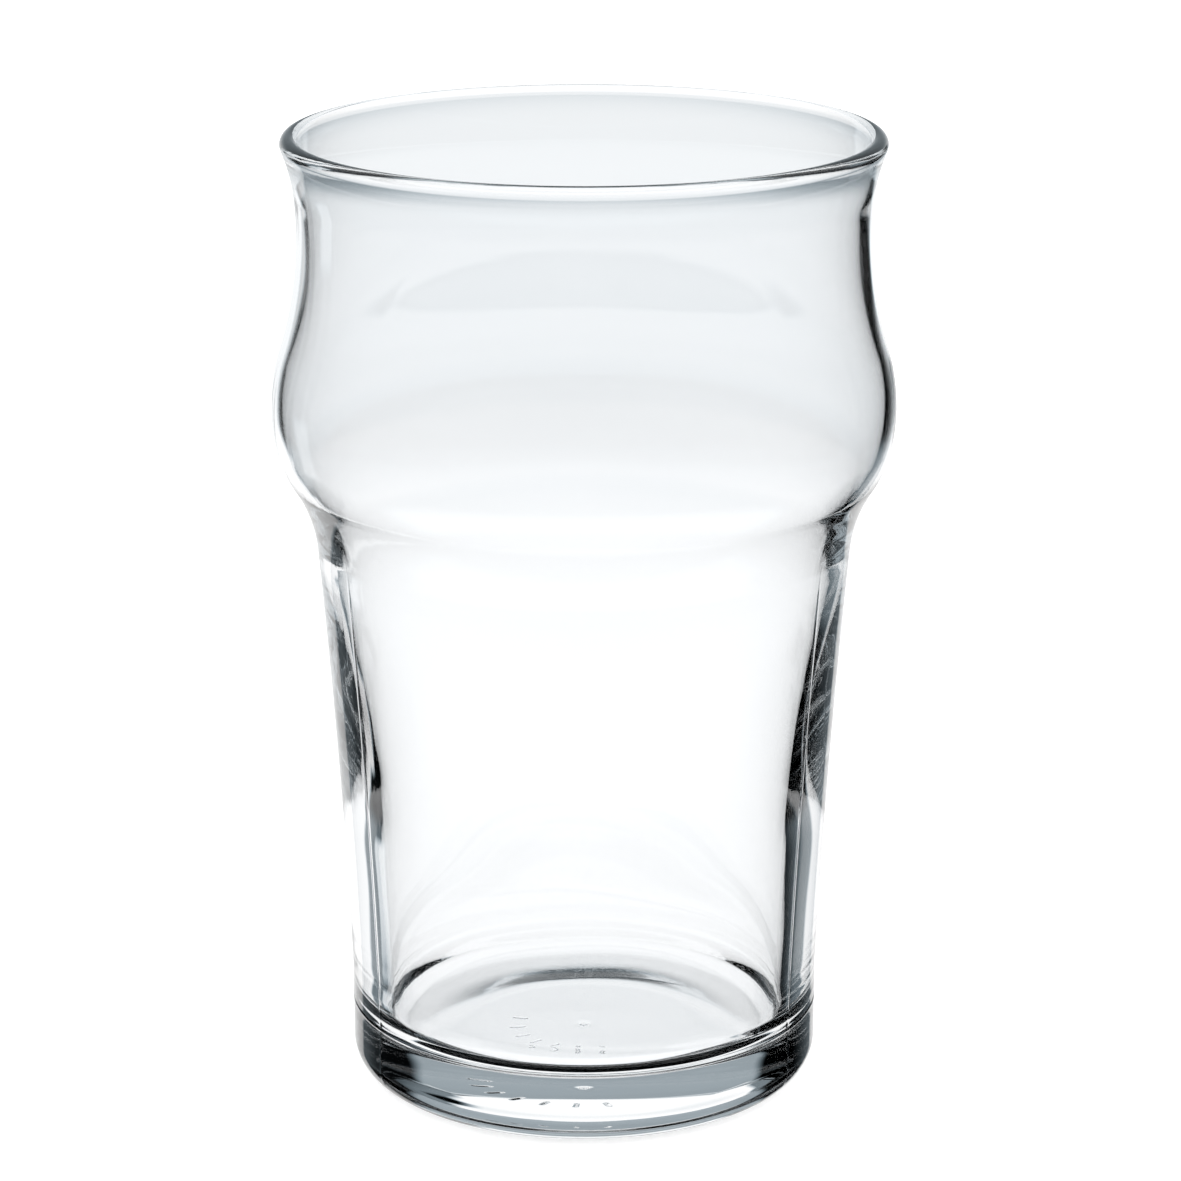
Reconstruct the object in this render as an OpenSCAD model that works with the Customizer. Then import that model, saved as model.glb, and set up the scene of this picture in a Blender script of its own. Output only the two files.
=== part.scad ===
// Pint beer glass of the "nonic" shape, with a thick foot, a flaring wall, a shoulder, a bulge, a neck
// and a rounded rim. It is one moulding. Each named zone of it is a solid of revolution that meets
// the next one face to face.
// Millimetres, +Z up, origin at the middle of the face that it stands on.

/* [Overall] */
// Height from the table to the top of the rim
height = 148; // [147:0.5:150]

/* [Rim and neck] */
// Radius of the rounded edge that the drinker's lip meets
bead_radius = 1.4; // [1.2:0.1:1.6]
// Outer radius at the narrowest part of the neck
neck_radius = 43.0; // [42.5:0.1:43.5]
// Radius of the hollow curve of the neck, seen from the side
neck_curve = 58; // [54:1:62]
// Wall thickness in the neck and the bulge
upper_wall = 1.8; // [1.5:0.1:2.2]

/* [Bulge] */
// Outer radius at the widest part of the bulge
bulge_radius = 47.2; // [46.8:0.1:47.6]
// Height of the widest part of the bulge
bulge_height = 106.5; // [106:0.1:107]
// Radius of the bulge's curve, seen from the side
bulge_curve = 29; // [27:1:31]
// Radius of the tighter curve under the bulge
underside_curve = 16; // [14:1:18]

/* [Shoulder] */
// Radius of the hollow curve between the bulge and the flaring wall
shoulder_curve = 23; // [21:1:25]
// Steepest slope of the shoulder, in degrees from upright
shoulder_slope = 33.5; // [31:0.5:36]
// Wall thickness at the foot of the shoulder
shoulder_wall = 2.6; // [2.2:0.1:3.2]

/* [Wall] */
// Wall thickness above the floor
lower_wall = 5.3; // [4.5:0.1:5.8]
// Height at which the thick lower wall starts to thin
thinning_from = 41; // [36:1:50]
// Height at which it is as thin as at the shoulder
thinning_to = 84; // [74:1:84]

/* [Foot] */
// Outer radius of the foot
foot_radius = 36.2; // [35.6:0.1:36.8]
// Height of the edge where the wall starts above the foot
foot_height = 17; // [16.5:0.5:19]
// Height of the mould line round the foot
mould_line_height = 12.2; // [11:0.1:13]
// Radius of the rounded heel
heel_radius = 5.5; // [4.5:0.5:6.5]
// Height of the inside floor above the table
floor_height = 9.5; // [8:0.5:10]
// Radius of the curve where the inside floor turns up into the wall
floor_curve = 4.6; // [3.6:0.1:6]

/* [Underside] */
// Depth of the hollow under the base
punt_depth = 0.5; // [0.4:0.1:1]
// Radius of the hollow under the base, halfway up its sloping edge
punt_radius = 22; // [20:0.5:23]
// Number of short raised bars in the row of mould marks
mark_count = 7; // [5:1:9]

/* [Hidden] */
arc_steps = 12;
wall_steps = 14;
turn_segments = 120;
glass_colour = [0.82, 0.88, 0.90, 0.35];

// Slopes, in degrees from upright, at which one curve of the outline hands over to the next
underside_slope = 10.8;
wall_top_slope = 5.2;
flare_start_slope = 4.5;
flare_end_slope = 22;
inner_flare_slope = 6;

// Centres of the curves, each found from touching the one before it
bulge_centre = [bulge_radius - bulge_curve, bulge_height];
neck_slope = acos((neck_radius + neck_curve - bulge_centre.x) / (neck_curve + bulge_curve));
neck_centre = bulge_centre + (neck_curve + bulge_curve) * [cos(neck_slope), sin(neck_slope)];
underside_centre = bulge_centre
    + (bulge_curve - underside_curve) * [cos(underside_slope), -sin(underside_slope)];
shoulder_centre = underside_centre
    + (underside_curve + shoulder_curve) * [cos(shoulder_slope), -sin(shoulder_slope)];

// The rim flares out of the neck, and the height settles the radius of that flare
flare_rise = height - bead_radius - bead_radius * sin(flare_end_slope)
    - neck_centre.y - neck_curve * sin(flare_start_slope);
flare_curve = flare_rise / (sin(flare_end_slope) - sin(flare_start_slope));
flare_centre = neck_centre
    + (neck_curve - flare_curve) * [-cos(flare_start_slope), sin(flare_start_slope)];
bead_centre = flare_centre
    + (flare_curve + bead_radius) * [-cos(flare_end_slope), sin(flare_end_slope)];

// The flaring wall runs from the foot's upper edge to the end of the shoulder's hollow curve
wall_top = shoulder_centre + shoulder_curve * [-cos(wall_top_slope), sin(wall_top_slope)];
inner_wall_top = shoulder_centre
    + (shoulder_curve + shoulder_wall) * [-cos(wall_top_slope), sin(wall_top_slope)];
floor_edge = foot_radius - lower_wall - floor_curve;

// Share of the wall's flare that is straight, the rest being a curve
wall_straightness = 0.63;

// How far the mould line and the foot's upper edge stand out
edge_step = 0.2;

// Half the width of the sloping edge of the hollow under the base
punt_slope = 5;

// Places and sizes of the marks under the base
mark_start = 165;
mark_spacing = 20;
mark_ring_radius = 10.5;
mark_length = 2.4;
mark_width = 0.8;
mark_height = 0.2;
dot_radius = 0.8;
dot_segments = 24;

// Points on an arc about a centre. The radius can change evenly along it.
function arc(centre, from, to, radius, last_radius = undef) =
    [for (i = [0:arc_steps])
        let (part = i / arc_steps)
        let (angle = from + (to - from) * part)
        let (reach = is_undef(last_radius) ? radius : radius + (last_radius - radius) * part)
        centre + reach * [cos(angle), sin(angle)]];

function reversed(points) = [for (i = [len(points) - 1:-1:0]) points[i]];

function eased(u) = u <= 0 ? 0 : u >= 1 ? 1 : u * u * (3 - 2 * u);

// Outer radius of the flaring wall, which flares a little faster towards the top
function wall_radius(z) =
    let (u = (z - foot_height) / (wall_top.y - foot_height))
    foot_radius + (wall_top.x - foot_radius) * (wall_straightness * u + (1 - wall_straightness) * u * u);

function wall_thickness(z) =
    lower_wall - (lower_wall - shoulder_wall) * eased((z - thinning_from) / (thinning_to - thinning_from));

function wall_heights(from) = [for (i = [0:wall_steps]) from + (wall_top.y - from) * i / wall_steps];

// Turns one zone's half outline, given as its outer points and then its inner points, both from the bottom up
module turned(outer, inner) {
    color(glass_colour)
    rotate_extrude($fn = turn_segments)
    polygon(concat(outer, reversed(inner)));
}

// Thick bottom with a rounded heel, hollowed underneath so that it stands on a ring
module base() {
    heel = arc([foot_radius - heel_radius, heel_radius], -90, 0, heel_radius);
    hollow = [for (i = [0:arc_steps])
        let (part = i / arc_steps)
        [punt_radius + punt_slope * (2 * part - 1), punt_depth * (1 - eased(part))]];
    turned(concat([[0, punt_depth]], hollow, heel, [[foot_radius, floor_height]]), [[0, floor_height]]);
}

// Thick wall of the lower half, with the mould line and the foot's upper edge on its outside
module tapered_wall() {
    foot_side = [
        [foot_radius, floor_height],
        [foot_radius, mould_line_height - edge_step],
        [foot_radius + edge_step, mould_line_height],
        [foot_radius, mould_line_height + edge_step],
        [foot_radius, foot_height - edge_step],
        [foot_radius + edge_step, foot_height - edge_step]
    ];
    outside = [for (z = wall_heights(foot_height)) [wall_radius(z), z]];
    floor_turn = arc([floor_edge, floor_height + floor_curve], -90, 0, floor_curve);
    inside = [for (z = wall_heights(foot_height)) [wall_radius(z) - wall_thickness(z), z]];
    turned(concat(foot_side, outside), concat(floor_turn, inside, [inner_wall_top]));
}

// Step between the flaring wall and the bulge, where stacked glasses rest on each other
module shoulder() {
    hollow_outside = arc(shoulder_centre, 180 - wall_top_slope, 180 - shoulder_slope, shoulder_curve);
    round_outside = arc(underside_centre, -shoulder_slope, -underside_slope, underside_curve);
    hollow_inside = arc(shoulder_centre, 180 - wall_top_slope, 180 - shoulder_slope,
        shoulder_curve + shoulder_wall, shoulder_curve + upper_wall);
    round_inside = arc(underside_centre, -shoulder_slope, -underside_slope, underside_curve - upper_wall);
    turned(concat(hollow_outside, round_outside), concat(hollow_inside, round_inside));
}

module bulge() {
    outside = arc(bulge_centre, -underside_slope, neck_slope, bulge_curve);
    inside = arc(bulge_centre, -underside_slope, neck_slope, bulge_curve - upper_wall);
    turned(outside, inside);
}

module neck() {
    outside = arc(neck_centre, 180 + neck_slope, 180 - flare_start_slope, neck_curve);
    inside = arc(neck_centre, 180 + neck_slope, 180 - flare_start_slope, neck_curve + upper_wall);
    turned(outside, inside);
}

// Flared lip with its rounded edge
module rim() {
    flare = arc(flare_centre, 180 - flare_start_slope, 180 - flare_end_slope, flare_curve);
    bead_outside = arc(bead_centre, -flare_end_slope, 90, bead_radius);
    bead_inside = arc(bead_centre, 90, 180 + inner_flare_slope, bead_radius);
    neck_end = neck_centre + (neck_curve + upper_wall) * [-cos(flare_start_slope), sin(flare_start_slope)];
    turned(concat(flare, bead_outside, bead_inside), [neck_end]);
}

// Row of short raised bars round a dot, in the hollow under the base, as a moulded glass has
module mould_marks() {
    color(glass_colour)
    translate([0, 0, punt_depth - mark_height]) {
        cylinder(r = dot_radius, h = mark_height, $fn = dot_segments);
        for (i = [0:mark_count - 1])
            rotate(mark_start + mark_spacing * i)
            translate([mark_ring_radius - mark_length / 2, -mark_width / 2, 0])
            cube([mark_length, mark_width, mark_height]);
    }
}

base();
tapered_wall();
shoulder();
bulge();
neck();
rim();
mould_marks();
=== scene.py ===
"""A clear pint glass of the nonic shape on a pale floor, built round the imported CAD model."""
import math

import bmesh
import bpy
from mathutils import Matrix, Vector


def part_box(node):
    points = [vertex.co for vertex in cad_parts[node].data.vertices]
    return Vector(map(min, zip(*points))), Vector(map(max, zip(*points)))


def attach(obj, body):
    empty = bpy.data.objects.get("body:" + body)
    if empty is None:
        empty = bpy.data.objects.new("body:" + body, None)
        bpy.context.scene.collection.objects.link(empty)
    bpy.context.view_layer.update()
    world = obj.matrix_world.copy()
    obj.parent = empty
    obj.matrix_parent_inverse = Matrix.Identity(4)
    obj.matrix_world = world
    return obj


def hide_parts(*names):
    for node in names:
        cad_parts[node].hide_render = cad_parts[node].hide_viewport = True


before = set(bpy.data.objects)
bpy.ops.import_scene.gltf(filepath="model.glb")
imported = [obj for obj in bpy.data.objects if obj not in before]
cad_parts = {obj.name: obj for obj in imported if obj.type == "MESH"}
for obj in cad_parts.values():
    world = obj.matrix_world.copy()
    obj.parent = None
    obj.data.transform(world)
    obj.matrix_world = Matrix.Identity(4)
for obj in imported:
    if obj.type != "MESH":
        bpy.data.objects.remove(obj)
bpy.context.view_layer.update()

# Lengths of the glass are in millimetres until its mesh is made, like the CAD model's.
MM = 0.001

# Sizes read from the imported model
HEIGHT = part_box("rim")[1][2] / MM
FOOT_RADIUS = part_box("base")[1][0] / MM
FLOOR_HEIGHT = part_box("base")[1][2] / MM

# The CAD model's curves, which the boxes can't give
BEAD_RADIUS = 1.4
NECK_RADIUS = 43.0
NECK_CURVE = 58.0
UPPER_WALL = 1.8
BULGE_RADIUS = 47.2
BULGE_HEIGHT = 106.5
BULGE_CURVE = 29.0
UNDERSIDE_CURVE = 16.0
SHOULDER_CURVE = 23.0
SHOULDER_WALL = 2.6
LOWER_WALL = 5.3
THINNING_FROM = 41.0
THINNING_TO = 84.0
FOOT_HEIGHT = 17.0
MOULD_LINE_HEIGHT = 12.2
HEEL_RADIUS = 5.5
FLOOR_CURVE = 4.6
PUNT_DEPTH = 0.5
PUNT_RADIUS = 22.0
PUNT_SLOPE = 5.0
WALL_STRAIGHTNESS = 0.63

# Slopes, in degrees from upright, where one curve hands over to the next
UNDERSIDE_SLOPE = 10.8
SHOULDER_SLOPE = 33.5
WALL_TOP_SLOPE = 5.2
FLARE_START_SLOPE = 4.5
FLARE_END_SLOPE = 22.0
INNER_FLARE_SLOPE = 6.0

# Lines that the mould leaves on the outside: two upright seams in front, one behind, and two lines round
# the foot. The ring is sharpest in front, and the chill line lies a little askew.
SEAM_ANGLES = (-149.5, -30.5, 90.0)
SEAM_HEIGHT = 0.035
SEAM_HALF_WIDTH = 0.5
SEAM_BOTTOM = 1.5
SEAM_TOP = 88.0
SEAM_FADE_BELOW = 2.0
SEAM_FADE_ABOVE = 10.0
RING_HEIGHT = 0.13
RING_HALF_WIDTH = 0.35
RING_SHARE_BEHIND = 0.2
CHILL_LINE_HEIGHT = 16.3
CHILL_LINE_TILT = 2.1
CHILL_LINE_RIDGE = 0.035
CHILL_LINE_HALF_WIDTH = 0.7

# Marks in the hollow under the base: a row of bars round part of a circle, and a dot in the middle
MARK_COUNT = 7
MARK_START = 165.0
MARK_SPACING = 20.0
MARK_RING = 10.5
MARK_LENGTH = 2.4
MARK_WIDTH = 0.8
MARK_END = 0.5
MARK_HEIGHT = 0.2
DOT_RADIUS = 0.8

# The inside is very slightly uneven. Each wave has its strength, how often it comes round the glass, and
# the height over which it turns by one radian.
INSIDE_UNEVENNESS = 0.03
INSIDE_WAVES = ((1.0, 2, 11.0), (0.6, 5, -7.0), (0.4, 9, 5.0))
INSIDE_FADE = 20.0

# Steps round the glass, in degrees, and the finer ones at the seams and the marks
TURN_STEP = 1.5
SEAM_STEP = 0.2
SEAM_STEPS_EACH_SIDE = 4
MARK_STEP = 0.4
MARK_STEPS_EACH_SIDE = 6

# Points of the outline closer to the axis than this are on it
ON_AXIS = 1e-6

# Clear glass, with waves on it that are wide and very shallow, and with fine scratches where it stands.
# These lengths are in metres, and the scratches' two are heights above the table.
GLASS_TINT = (0.985, 0.993, 1.0, 1.0)
GLASS_INDEX = 1.52
WAVES_PER_METRE = 55.0
WAVE_DEPTH = 0.00004
SCRATCHES_PER_METRE = 1600.0
SCRATCHES_FULL_BELOW = 0.00005
SCRATCHES_END_ABOVE = 0.0004
SCRATCH_ROUGHNESS = 0.16

# Light bounces many times inside the thick foot before it leaves
GLASS_BOUNCES = 48

# Glass faces that light passes on its way through one wall, and through two
ONE_WALL_FACES = 2
TWO_WALL_FACES = 4

# The camera is matched to the photograph. Its place is in metres, and it looks down by its pitch, in
# degrees. Its lens and sensor are in millimetres, and its shift is a share of the picture's width.
CAMERA_PLACE = (0.0, -0.6142, 0.2548)
CAMERA_PITCH = 16.14
CAMERA_LENS = 127.2
CAMERA_SENSOR = 36.0
CAMERA_SHIFT = 0.0055

# The pale floor that the glass stands on, with its radius in metres, and how strongly it glows
PALE_FLOOR_RADIUS = 6.0
PALE_FLOOR_ROUGHNESS = 0.9
PALE_FLOOR_GLOW = 0.4

# Brightness of the white that the camera and the floor see, and of the reflector
PLAIN_BRIGHTNESS = 1.2
REFLECTOR_BRIGHTNESS = 0.75

WHITE = (1.0, 1.0, 1.0, 1.0)
PALE_BLUE = (0.68, 0.88, 1.0, 1.0)


def along(centre, radius, angle):
    """The point at that angle, in degrees from straight outwards, on a circle seen from the side."""
    turn = math.radians(angle)
    return (centre[0] + radius * math.cos(turn), centre[1] + radius * math.sin(turn))


def arc(centre, radius, start, end, steps, last_radius=None):
    """Points along an arc, its first point left out so that it can follow another stretch."""
    last = radius if last_radius is None else last_radius
    points = []
    for i in range(1, steps + 1):
        part = i / steps
        points.append(along(centre, radius + (last - radius) * part, start + (end - start) * part))
    return points


def straight(start, end, steps):
    """Points along a line, its first point left out."""
    return [
        (start[0] + (end[0] - start[0]) * i / steps, start[1] + (end[1] - start[1]) * i / steps)
        for i in range(1, steps + 1)
    ]


def eased(u):
    """Rises smoothly from 0 at 0 to 1 at 1."""
    u = min(1.0, max(0.0, u))
    return u * u * (3.0 - 2.0 * u)


def bump(distance, half_width):
    """A smooth hill, 1 high in its middle and 0 beyond its half width."""
    return 1.0 - eased(abs(distance) / half_width)


# Centres of the curves, each found from touching the one before it
BULGE = (BULGE_RADIUS - BULGE_CURVE, BULGE_HEIGHT)
NECK_SLOPE = math.degrees(math.acos((NECK_RADIUS + NECK_CURVE - BULGE[0]) / (NECK_CURVE + BULGE_CURVE)))
NECK = along(BULGE, NECK_CURVE + BULGE_CURVE, NECK_SLOPE)
UNDERSIDE = along(BULGE, BULGE_CURVE - UNDERSIDE_CURVE, -UNDERSIDE_SLOPE)
SHOULDER = along(UNDERSIDE, UNDERSIDE_CURVE + SHOULDER_CURVE, -SHOULDER_SLOPE)
NECK_END = along(NECK, NECK_CURVE, 180 - FLARE_START_SLOPE)
SLOPE_GAIN = math.sin(math.radians(FLARE_END_SLOPE)) - math.sin(math.radians(FLARE_START_SLOPE))
BEAD_RISE = BEAD_RADIUS * (1 + math.sin(math.radians(FLARE_END_SLOPE)))
FLARE_CURVE = (HEIGHT - BEAD_RISE - NECK_END[1]) / SLOPE_GAIN
FLARE = along(NECK_END, FLARE_CURVE, -FLARE_START_SLOPE)
BEAD = along(FLARE, FLARE_CURVE + BEAD_RADIUS, 180 - FLARE_END_SLOPE)
WALL_TOP = along(SHOULDER, SHOULDER_CURVE, 180 - WALL_TOP_SLOPE)


def wall_radius(z):
    """Outer radius of the flaring wall, which flares a little faster towards the top."""
    u = max(0.0, (z - FOOT_HEIGHT) / (WALL_TOP[1] - FOOT_HEIGHT))
    share = WALL_STRAIGHTNESS * u + (1 - WALL_STRAIGHTNESS) * u * u
    return FOOT_RADIUS + (WALL_TOP[0] - FOOT_RADIUS) * share


def inner_wall_radius(z):
    """Inner radius of the flaring wall, which is thick below and thins towards the shoulder."""
    thinning = eased((z - THINNING_FROM) / (THINNING_TO - THINNING_FROM))
    return wall_radius(z) - LOWER_WALL + (LOWER_WALL - SHOULDER_WALL) * thinning


def underside_outline():
    """From the middle of the underside out to the ring that the glass stands on."""
    points = [(0.0, PUNT_DEPTH)]
    points += straight(points[-1], (DOT_RADIUS, PUNT_DEPTH), 6)
    points += straight(points[-1], (MARK_RING - MARK_LENGTH, PUNT_DEPTH), 6)
    points += straight(points[-1], (MARK_RING + MARK_LENGTH, PUNT_DEPTH), 30)
    points += straight(points[-1], (PUNT_RADIUS - PUNT_SLOPE, PUNT_DEPTH), 8)
    steps = 10
    for i in range(1, steps + 1):
        u = i / steps
        points.append((PUNT_RADIUS + PUNT_SLOPE * (2 * u - 1), PUNT_DEPTH * (1 - eased(u))))
    points += straight(points[-1], (FOOT_RADIUS - HEEL_RADIUS, 0.0), 3)
    return points


def outside_outline():
    """From the heel up to the edge of the rim."""
    heel = (FOOT_RADIUS - HEEL_RADIUS, HEEL_RADIUS)
    points = arc(heel, HEEL_RADIUS, -90, 0, 18)
    points += straight(points[-1], (FOOT_RADIUS, MOULD_LINE_HEIGHT - RING_HALF_WIDTH), 8)
    points += straight(points[-1], (FOOT_RADIUS, MOULD_LINE_HEIGHT + RING_HALF_WIDTH), 8)
    points += straight(points[-1], (FOOT_RADIUS, FOOT_HEIGHT), 26)
    steps = 44
    for i in range(1, steps + 1):
        z = FOOT_HEIGHT + (WALL_TOP[1] - FOOT_HEIGHT) * i / steps
        points.append((wall_radius(z), z))
    points += arc(SHOULDER, SHOULDER_CURVE, 180 - WALL_TOP_SLOPE, 180 - SHOULDER_SLOPE, 14)
    points += arc(UNDERSIDE, UNDERSIDE_CURVE, -SHOULDER_SLOPE, -UNDERSIDE_SLOPE, 10)
    points += arc(BULGE, BULGE_CURVE, -UNDERSIDE_SLOPE, NECK_SLOPE, 16)
    points += arc(NECK, NECK_CURVE, 180 + NECK_SLOPE, 180 - FLARE_START_SLOPE, 20)
    points += arc(FLARE, FLARE_CURVE, 180 - FLARE_START_SLOPE, 180 - FLARE_END_SLOPE, 8)
    points += arc(BEAD, BEAD_RADIUS, -FLARE_END_SLOPE, 90, 10)
    return points


def inside_outline():
    """From the edge of the rim down to the middle of the inside floor."""
    points = arc(BEAD, BEAD_RADIUS, 90, 180 + INNER_FLARE_SLOPE, 10)
    neck_end = along(NECK, NECK_CURVE + UPPER_WALL, 180 - FLARE_START_SLOPE)
    points += straight(points[-1], neck_end, 8)
    points += arc(NECK, NECK_CURVE + UPPER_WALL, 180 - FLARE_START_SLOPE, 180 + NECK_SLOPE, 20)
    points += arc(BULGE, BULGE_CURVE - UPPER_WALL, NECK_SLOPE, -UNDERSIDE_SLOPE, 16)
    points += arc(UNDERSIDE, UNDERSIDE_CURVE - UPPER_WALL, -UNDERSIDE_SLOPE, -SHOULDER_SLOPE, 10)
    points += arc(SHOULDER, SHOULDER_CURVE + UPPER_WALL, 180 - SHOULDER_SLOPE, 180 - WALL_TOP_SLOPE, 14,
                  last_radius=SHOULDER_CURVE + SHOULDER_WALL)
    turn_top = FLOOR_HEIGHT + FLOOR_CURVE
    steps = 44
    for i in range(1, steps + 1):
        z = WALL_TOP[1] + (turn_top - WALL_TOP[1]) * i / steps
        points.append((inner_wall_radius(z), z))
    turn_centre = (inner_wall_radius(turn_top) - FLOOR_CURVE, turn_top)
    points += arc(turn_centre, FLOOR_CURVE, 0, -90, 18)
    points += straight(points[-1], (0.0, FLOOR_HEIGHT), 10)
    return points


def turn_angles():
    """Angles round the glass, closer together at the mould seams and at the marks under the base."""
    angles = {round(TURN_STEP * i, 3) for i in range(round(360 / TURN_STEP))}
    for seam in SEAM_ANGLES:
        for k in range(-SEAM_STEPS_EACH_SIDE, SEAM_STEPS_EACH_SIDE + 1):
            angles.add(round((seam + SEAM_STEP * k) % 360, 3))
    for i in range(MARK_COUNT):
        for k in range(-MARK_STEPS_EACH_SIDE, MARK_STEPS_EACH_SIDE + 1):
            angles.add(round((MARK_START + MARK_SPACING * i + MARK_STEP * k) % 360, 3))
    return sorted(angles)


def turned_away(angle, other):
    """How far apart two directions are, in radians."""
    return math.radians(abs((angle - other + 180) % 360 - 180))


def outside_relief(radius, z, angle):
    """How far the mould's lines stand out of the outside, at that place."""
    to_seam = min(turned_away(angle, seam) for seam in SEAM_ANGLES) * radius
    seam_height = SEAM_HEIGHT * eased((z - SEAM_BOTTOM) / SEAM_FADE_BELOW)
    seam_height *= eased((SEAM_TOP - z) / SEAM_FADE_ABOVE)
    seam = seam_height * bump(to_seam, SEAM_HALF_WIDTH)
    turn = math.radians(angle)
    behind = (1 + math.sin(turn)) / 2
    ring_height = RING_HEIGHT * (1 - (1 - RING_SHARE_BEHIND) * behind)
    ring = ring_height * bump(z - MOULD_LINE_HEIGHT, RING_HALF_WIDTH)
    chill_height = CHILL_LINE_HEIGHT - CHILL_LINE_TILT * math.cos(turn)
    chill_line = CHILL_LINE_RIDGE * bump(z - chill_height, CHILL_LINE_HALF_WIDTH)
    return max(seam, ring, chill_line)


def underside_relief(radius, angle):
    """How far the marks stand out of the hollow under the base, at that place."""
    dot = bump(radius, DOT_RADIUS)
    away = min(turned_away(angle, MARK_START + MARK_SPACING * i) for i in range(MARK_COUNT)) * radius
    side = bump(away, MARK_WIDTH / 2)
    end = 1 - eased((abs(radius - MARK_RING) - MARK_LENGTH / 2 + MARK_END) / MARK_END)
    return MARK_HEIGHT * max(dot, side * end)


def inside_relief(z, angle):
    """How far the inside stands in or out at that place. It dies out towards the floor and the rim."""
    share = eased((z - FLOOR_HEIGHT) / INSIDE_FADE) * eased((HEIGHT - z) / INSIDE_FADE)
    turn = math.radians(angle)
    waves = sum(strength * math.sin(count * turn + z / pitch) for strength, count, pitch in INSIDE_WAVES)
    return INSIDE_UNEVENNESS * share * waves


def turned_mesh(name):
    """The whole glass as one closed skin: underside, outside, rim and inside."""
    angles = turn_angles()
    directions = [(math.cos(math.radians(a)), math.sin(math.radians(a))) for a in angles]
    mesh = bpy.data.meshes.new(name)
    shape = bmesh.new()
    rings = []
    zones = {"underside": underside_outline(), "outside": outside_outline(), "inside": inside_outline()}
    for zone, points in zones.items():
        for radius, z in points:
            if radius < ON_AXIS:
                rings.append([shape.verts.new((0.0, 0.0, z * MM))])
                continue
            ring = []
            for angle, (cx, cy) in zip(angles, directions):
                r, h = radius, z
                if zone == "outside":
                    r += outside_relief(radius, z, angle)
                if zone == "inside":
                    r += inside_relief(z, angle)
                if zone == "underside":
                    h -= underside_relief(radius, angle)
                ring.append(shape.verts.new((r * cx * MM, r * cy * MM, h * MM)))
            rings.append(ring)
    count = len(angles)
    for lower, upper in zip(rings, rings[1:]):
        for i in range(count):
            j = (i + 1) % count
            if len(lower) == 1:
                corners = (lower[0], upper[j], upper[i])
            elif len(upper) == 1:
                corners = (lower[i], lower[j], upper[0])
            else:
                corners = (lower[i], lower[j], upper[j], upper[i])
            shape.faces.new(corners).smooth = True
    bmesh.ops.recalc_face_normals(shape, faces=shape.faces)
    shape.to_mesh(mesh)
    shape.free()
    return mesh


class Nodes:
    """Short calls for building a node tree."""

    def __init__(self, tree):
        self.tree = tree

    def add(self, kind, **settings):
        node = self.tree.nodes.new(kind)
        for name, value in settings.items():
            setattr(node, name, value)
        return node

    def put(self, value, socket):
        """Links a socket, or sets a number or colour."""
        if isinstance(value, bpy.types.NodeSocket):
            self.tree.links.new(value, socket)
        else:
            socket.default_value = value

    def math(self, operation, *values):
        node = self.add("ShaderNodeMath", operation=operation)
        for value, socket in zip(values, node.inputs):
            self.put(value, socket)
        return node.outputs[0]

    def chain(self, operation, first, *others):
        """Takes any number of values, though the node takes two."""
        result = first
        for other in others:
            result = self.math(operation, result, other)
        return result

    def times(self, *values):
        return self.chain("MULTIPLY", *values)

    def plus(self, *values):
        return self.chain("ADD", *values)

    def greatest(self, *values):
        return self.chain("MAXIMUM", *values)

    def fade(self, value, start, end, low=0.0, high=1.0):
        """Rises smoothly from low, where value is at start, to high, where it is at end."""
        node = self.add("ShaderNodeMapRange", interpolation_type="SMOOTHSTEP")
        given = {"Value": value, "From Min": start, "From Max": end, "To Min": low, "To Max": high}
        for name, setting in given.items():
            self.put(setting, node.inputs[name])
        return node.outputs["Result"]

    def window(self, value, low, high, softness):
        """1 between low and high, fading to 0 over the softness centred on each."""
        half = softness / 2
        opening = self.fade(value, low - half, low + half)
        closing = self.fade(value, high - half, high + half, 1.0, 0.0)
        return self.times(opening, closing)

    def noise(self, place, scale, detail):
        node = self.add("ShaderNodeTexNoise")
        for name, setting in {"Vector": place, "Scale": scale, "Detail": detail}.items():
            self.put(setting, node.inputs[name])
        return node.outputs[0]

    def mix(self, factor, low, high):
        node = self.add("ShaderNodeMix", data_type="FLOAT")
        for name, setting in {"Factor": factor, "A": low, "B": high}.items():
            self.put(setting, node.inputs[name])
        return node.outputs["Result"]

    def mix_colours(self, factor, low, high):
        node = self.add("ShaderNodeMix", data_type="RGBA")
        colours = [socket for socket in node.inputs if socket.type == "RGBA"]
        self.put(factor, node.inputs["Factor"])
        self.put(low, colours[0])
        self.put(high, colours[1])
        return [socket for socket in node.outputs if socket.type == "RGBA"][0]


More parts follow.
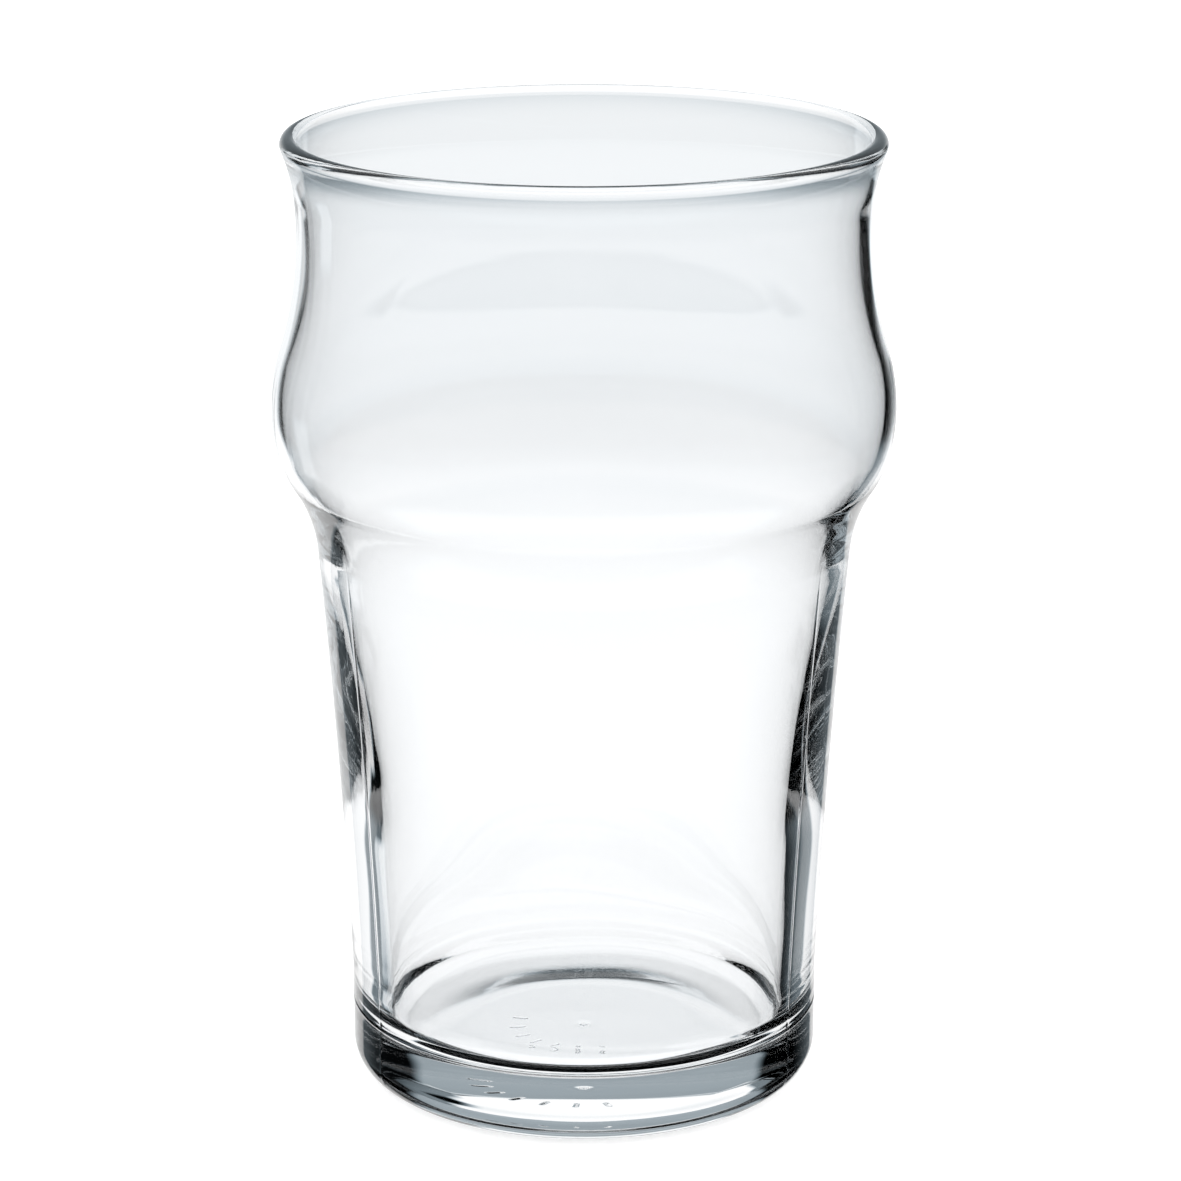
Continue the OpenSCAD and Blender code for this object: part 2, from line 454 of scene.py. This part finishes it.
def glass_material():
    """Clear glass that is faintly wavy, and scratched on the ring that it stands on."""
    material = bpy.data.materials.new("clear_glass")
    material.use_nodes = True
    nodes = Nodes(material.node_tree)
    shader = material.node_tree.nodes["Principled BSDF"]
    shader.inputs["Base Color"].default_value = GLASS_TINT
    shader.inputs["IOR"].default_value = GLASS_INDEX
    shader.inputs["Transmission Weight"].default_value = 1.0

    coordinates = nodes.add("ShaderNodeTexCoord").outputs["Object"]
    waviness = nodes.add("ShaderNodeBump")
    nodes.put(nodes.noise(coordinates, WAVES_PER_METRE, 1.0), waviness.inputs["Height"])
    nodes.put(WAVE_DEPTH, waviness.inputs["Distance"])
    nodes.put(waviness.outputs["Normal"], shader.inputs["Normal"])

    place = nodes.add("ShaderNodeSeparateXYZ")
    nodes.put(coordinates, place.inputs[0])
    near_table = nodes.fade(place.outputs["Z"], SCRATCHES_FULL_BELOW, SCRATCHES_END_ABOVE, 1.0, 0.0)
    scratches = nodes.fade(nodes.noise(coordinates, SCRATCHES_PER_METRE, 3.0), 0.48, 0.62)
    nodes.put(nodes.times(near_table, scratches, SCRATCH_ROUGHNESS), shader.inputs["Roughness"])
    return material


def make_glass():
    glass = bpy.data.objects.new("glass", turned_mesh("glass"))
    bpy.context.scene.collection.objects.link(glass)
    glass.data.materials.append(glass_material())
    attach(glass, "root")
    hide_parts("base", "tapered_wall", "shoulder", "bulge", "neck", "rim", "mould_marks")


def make_camera():
    data = bpy.data.cameras.new("camera")
    camera = bpy.data.objects.new("camera", data)
    bpy.context.scene.collection.objects.link(camera)
    data.sensor_width = CAMERA_SENSOR
    data.lens = CAMERA_LENS
    data.shift_x = CAMERA_SHIFT
    data.clip_start = 0.01
    data.clip_end = 50.0
    camera.location = CAMERA_PLACE
    camera.rotation_euler = (math.radians(90 - CAMERA_PITCH), 0.0, 0.0)
    bpy.context.scene.camera = camera


def sweep_brightness(nodes, elevation, through_glass):
    """The white sweep: the table in front of it, its greyer upper part and the softbox over it."""
    table_end = nodes.fade(elevation, -66.0, -60.0)
    table = nodes.fade(elevation, -24.0, -9.0, 1.16, 0.99)
    upper_part = nodes.fade(elevation, -6.0, 12.0, 1.0, 0.43)
    softbox = nodes.times(nodes.window(elevation, 26.0, 62.0, 5.0), through_glass)
    return nodes.times(table_end, nodes.greatest(nodes.times(table, upper_part), softbox))


def sweep_width(nodes, azimuth, elevation):
    """1 where the sweep is, and 0 to its sides, where the studio is dark."""
    left_edge = nodes.plus(
        nodes.fade(elevation, -19.0, -13.0, -36.0, -28.0), nodes.fade(elevation, -4.0, 6.0, 0.0, -12.0))
    right_edge = nodes.plus(
        nodes.fade(elevation, -19.0, -13.0, 26.0, 20.0), nodes.fade(elevation, -4.0, 10.0, 0.0, 18.0))
    left = nodes.fade(azimuth, nodes.plus(left_edge, -1.5), nodes.plus(left_edge, 3.0))
    right = nodes.fade(azimuth, nodes.plus(right_edge, -4.0), nodes.plus(right_edge, 1.5), 1.0, 0.0)
    return nodes.times(left, right)


def table_brightness(nodes, azimuth, elevation):
    """The dim table beside the sweep, and its lit front part."""
    dim_right = nodes.fade(azimuth, 26.0, 54.0, 0.27, 0.0)
    dim_left = nodes.fade(azimuth, -64.0, -34.0, 0.02, 0.33)
    dim = nodes.math("MINIMUM", dim_right, dim_left)
    beside = nodes.times(dim, nodes.window(elevation, -27.0, -17.0, 4.0))
    away = nodes.math("ABSOLUTE", azimuth)
    front_part = nodes.fade(away, 76.0, 96.0, 0.0, 0.55)
    front = nodes.times(front_part, nodes.window(elevation, -56.0, -38.0, 7.0))
    return nodes.greatest(beside, front)


def make_world():
    """The studio that the glass sees. Everything else sees plain white.

    Its parts lie in directions in degrees: azimuth 0 is behind the glass and 90 is to its right, and
    elevation 0 is level.
    """
    world = bpy.data.worlds.new("studio")
    bpy.context.scene.world = world
    world.use_nodes = True
    nodes = Nodes(world.node_tree)
    path = nodes.add("ShaderNodeLightPath").outputs
    coordinates = nodes.add("ShaderNodeTexCoord")
    place = nodes.add("ShaderNodeSeparateXYZ")
    nodes.put(coordinates.outputs["Generated"], place.inputs[0])
    x, y, z = place.outputs
    azimuth = nodes.math("DEGREES", nodes.math("ARCTAN2", x, y))
    elevation = nodes.math("DEGREES", nodes.math("ARCSINE", z))

    # A reflector stands to the left
    through_glass = path["Is Transmission Ray"]
    reflector_width = nodes.window(azimuth, -57.0, -47.0, 3.0)
    reflector_height = nodes.window(elevation, -24.0, -10.0, 3.0)
    reflector = nodes.times(reflector_width, reflector_height, through_glass, REFLECTOR_BRIGHTNESS)

    # Light that came right through both walls finds a white room all round. So does light that came in
    # over the rim and out through the far wall or the floor, with no reflection. The ray depth counts
    # every face passed or reflected from, and one more for the world.
    both_walls = nodes.math("GREATER_THAN", path["Transmission Depth"], TWO_WALL_FACES - 0.5)
    one_wall = nodes.times(
        nodes.math("GREATER_THAN", path["Transmission Depth"], ONE_WALL_FACES - 0.5),
        nodes.math("LESS_THAN", path["Ray Depth"], ONE_WALL_FACES + 1.5))
    far_aside = nodes.fade(nodes.math("ABSOLUTE", azimuth), 58.0, 66.0)
    left = nodes.fade(azimuth, -40.0, -36.0, 1.0, 0.0)
    low_left = nodes.times(left, nodes.fade(elevation, -18.0, -15.0, 1.0, 0.0))
    over_rim = nodes.times(one_wall, nodes.greatest(far_aside, low_left))
    room = nodes.times(nodes.greatest(both_walls, over_rim), nodes.window(elevation, -38.0, 14.0, 6.0))
    white_parts = nodes.greatest(sweep_width(nodes, azimuth, elevation), reflector, room)
    sweep = nodes.times(sweep_brightness(nodes, elevation, through_glass), white_parts)
    through_floor = nodes.times(one_wall, nodes.fade(elevation, -46.0, -38.0, 1.0, 0.0))
    seen = nodes.greatest(sweep, table_brightness(nodes, azimuth, elevation), through_floor)

    # Only light that meets the glass first sees the studio
    by_glass = nodes.greatest(through_glass, path["Is Glossy Ray"])
    not_from_floor = nodes.math("LESS_THAN", path["Diffuse Depth"], 0.5)
    brightness = nodes.mix(nodes.times(by_glass, not_from_floor), PLAIN_BRIGHTNESS, seen)
    background = world.node_tree.nodes["Background"]
    nodes.put(brightness, background.inputs["Strength"])

    # The dim parts of the studio look a little blue
    whiteness = nodes.math("MINIMUM", nodes.times(brightness, 0.9), 1.0)
    nodes.put(nodes.mix_colours(whiteness, PALE_BLUE, WHITE), background.inputs["Color"])


def make_floor():
    """A white floor that glows a little, so that the glass hardly shades it."""
    mesh = bpy.data.meshes.new("floor")
    shape = bmesh.new()
    bmesh.ops.create_circle(shape, cap_ends=True, segments=96, radius=PALE_FLOOR_RADIUS)
    shape.to_mesh(mesh)
    shape.free()
    floor = bpy.data.objects.new("floor", mesh)
    bpy.context.scene.collection.objects.link(floor)
    material = bpy.data.materials.new("pale_floor")
    material.use_nodes = True
    shader = material.node_tree.nodes["Principled BSDF"]
    shader.inputs["Base Color"].default_value = WHITE
    shader.inputs["Roughness"].default_value = PALE_FLOOR_ROUGHNESS
    shader.inputs["Emission Color"].default_value = WHITE
    shader.inputs["Emission Strength"].default_value = PALE_FLOOR_GLOW
    mesh.materials.append(material)
    floor.visible_transmission = False
    floor.visible_glossy = False


make_glass()
make_camera()
make_world()
make_floor()

scene = bpy.context.scene
scene.view_settings.view_transform = "Standard"
scene.cycles.max_bounces = GLASS_BOUNCES
scene.cycles.transmission_bounces = GLASS_BOUNCES
scene.cycles.glossy_bounces = GLASS_BOUNCES
